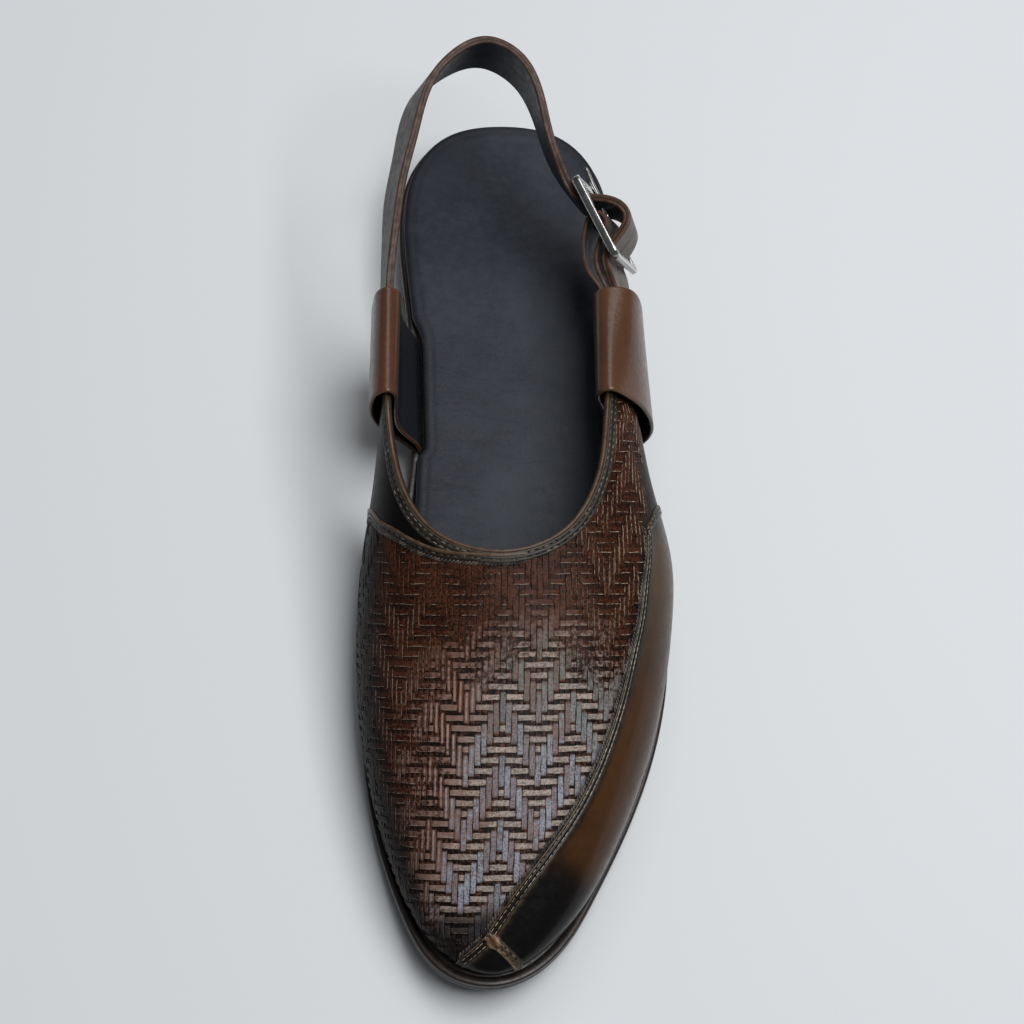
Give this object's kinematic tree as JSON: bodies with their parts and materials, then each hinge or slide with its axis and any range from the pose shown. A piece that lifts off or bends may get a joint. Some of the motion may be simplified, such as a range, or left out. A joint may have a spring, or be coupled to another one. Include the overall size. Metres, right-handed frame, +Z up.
{
  "type": "slingback shoe",
  "caption": "Flat closed-toe slingback shoe with a herringbone-woven vamp, a smooth side band, two folded side loops and a buckled heel strap.",
  "frame": {"origin": "On the floor, under the middle of the heel block's underside.", "axes": "+Z up; the toe points towards -Y; +X is the outer side of the foot, where the buckle is."},
  "size_m": [0.1022, 0.3028, 0.0805],
  "materials": {
    "sole_rubber": "black, polished edge",
    "insole_leather": "navy-black, soft sheen, fine grain",
    "woven_leather": "dark brown, burnished, woven in herringbone strips",
    "loop_leather": "mid brown, satin, fine pebble grain",
    "strap_leather": "grey-brown, worn, navy inside, brown edges",
    "buckle_steel": "brushed, slightly darkened"
  },
  "bodies": {
    "root": {"outsole": "sole_rubber", "heel": "sole_rubber", "insole": "insole_leather", "upper": "woven_leather", "outer_loop": "loop_leather", "inner_loop": "loop_leather", "sling_strap": "strap_leather", "buckle_billet": "strap_leather", "buckle_frame": "buckle_steel", "buckle_prong": "buckle_steel"}
  },
  "joints": []
}
